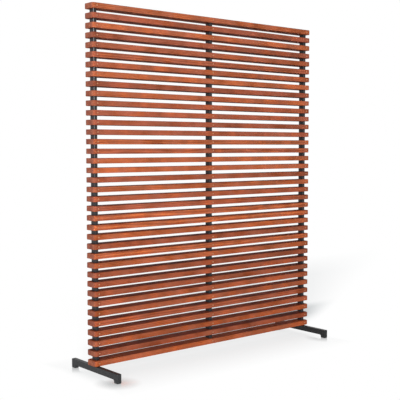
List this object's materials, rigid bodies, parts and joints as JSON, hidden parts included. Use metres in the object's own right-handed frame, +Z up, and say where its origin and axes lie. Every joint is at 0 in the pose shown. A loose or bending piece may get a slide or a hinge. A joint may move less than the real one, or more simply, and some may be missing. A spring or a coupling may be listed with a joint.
{
  "type": "garden privacy screen",
  "caption": "Free-standing outdoor screen of level hardwood slats threaded over upright steel posts, standing on two bridge-shaped steel feet.",
  "frame": {"origin": "on the ground, midway between the feet and midway through the depth of the slats", "axes": "+Z up, +X along the slats to the right as seen from the front, front face towards -Y"},
  "size_m": [1.516, 0.405, 1.7963],
  "materials": {
    "hardwood": "oiled reddish hardwood, satin, straight grain",
    "post_steel": "dark grey powder coat, matt",
    "foot_steel": "dark grey powder coat, fine texture",
    "plug_plastic": "black moulded plastic",
    "fastener_steel": "plain stainless steel",
    "pad_rubber": "black rubber, matt"
  },
  "bodies": {
    "root": {"slat_01": "hardwood", "slat_02": "hardwood", "slat_03": "hardwood", "slat_04": "hardwood", "slat_05": "hardwood", "slat_06": "hardwood", "slat_07": "hardwood", "slat_08": "hardwood", "slat_09": "hardwood", "slat_10": "hardwood", "slat_11": "hardwood", "slat_12": "hardwood", "slat_13": "hardwood", "slat_14": "hardwood", "slat_15": "hardwood", "slat_16": "hardwood", "slat_17": "hardwood", "slat_18": "hardwood", "slat_19": "hardwood", "slat_20": "hardwood", "slat_21": "hardwood", "slat_22": "hardwood", "slat_23": "hardwood", "slat_24": "hardwood", "slat_25": "hardwood", "slat_26": "hardwood", "slat_27": "hardwood", "slat_28": "hardwood", "slat_29": "hardwood", "slat_30": "hardwood", "slat_31": "hardwood", "slat_32": "hardwood", "slat_33": "hardwood", "slat_34": "hardwood", "slat_35": "hardwood", "slat_36": "hardwood", "slat_37": "hardwood", "slat_38": "hardwood", "post_left": "post_steel", "post_middle": "post_steel", "post_right": "post_steel", "foot_left": "foot_steel", "foot_right": "foot_steel", "top_plug_left": "plug_plastic", "top_plug_middle": "plug_plastic", "top_plug_right": "plug_plastic", "bottom_plug_middle": "plug_plastic", "post_insert_left": "fastener_steel", "post_insert_right": "fastener_steel", "foot_bolt_left": "fastener_steel", "foot_bolt_right": "fastener_steel", "pad_left_front": "pad_rubber", "pad_left_rear": "pad_rubber", "pad_right_front": "pad_rubber", "pad_right_rear": "pad_rubber"}
  },
  "joints": []
}
